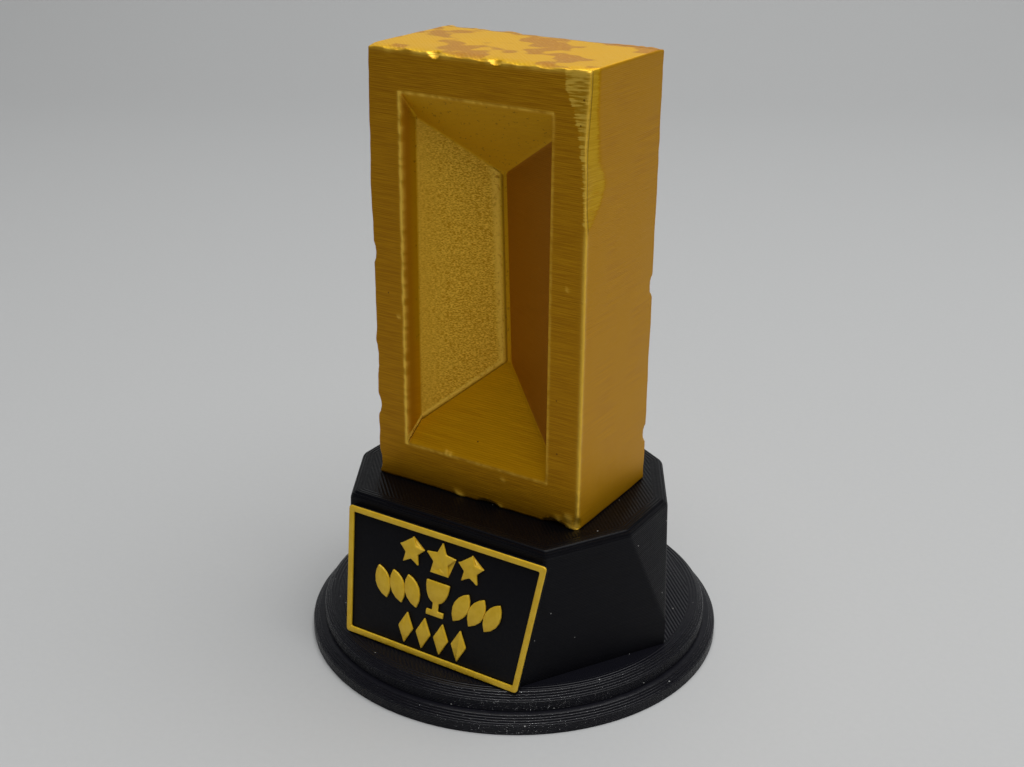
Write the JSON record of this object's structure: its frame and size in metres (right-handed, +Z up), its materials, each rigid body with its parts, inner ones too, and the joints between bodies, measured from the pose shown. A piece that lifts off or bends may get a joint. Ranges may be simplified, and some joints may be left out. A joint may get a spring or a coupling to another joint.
{
  "type": "column trophy",
  "caption": "Small printed award: an upright gold house brick with a hipped recess stands on a black faceted pedestal with a stepped round foot and an ornamented plaque.",
  "frame": {"origin": "centre of the foot's underside", "axes": "+Z up, the brick's recess and the plaque face -Y, +X to the right seen from the front"},
  "size_m": [0.0494, 0.0494, 0.07],
  "materials": {
    "black_print": "satin printed PLA with fine layer lines",
    "gold_print": "silk gold printed PLA with fine layer lines",
    "yellow_print": "satin gold-yellow printed PLA"
  },
  "bodies": {
    "root": {"foot": "black_print", "pedestal": "black_print", "brick": "gold_print", "plaque_plate": "black_print", "plaque_border": "yellow_print", "star_left": "yellow_print", "star_centre": "yellow_print", "star_right": "yellow_print", "cup": "yellow_print", "leaf_left_1": "yellow_print", "leaf_left_2": "yellow_print", "leaf_left_3": "yellow_print", "leaf_right_1": "yellow_print", "leaf_right_2": "yellow_print", "leaf_right_3": "yellow_print", "lozenge_1": "yellow_print", "lozenge_2": "yellow_print", "lozenge_3": "yellow_print", "lozenge_4": "yellow_print"}
  },
  "joints": []
}
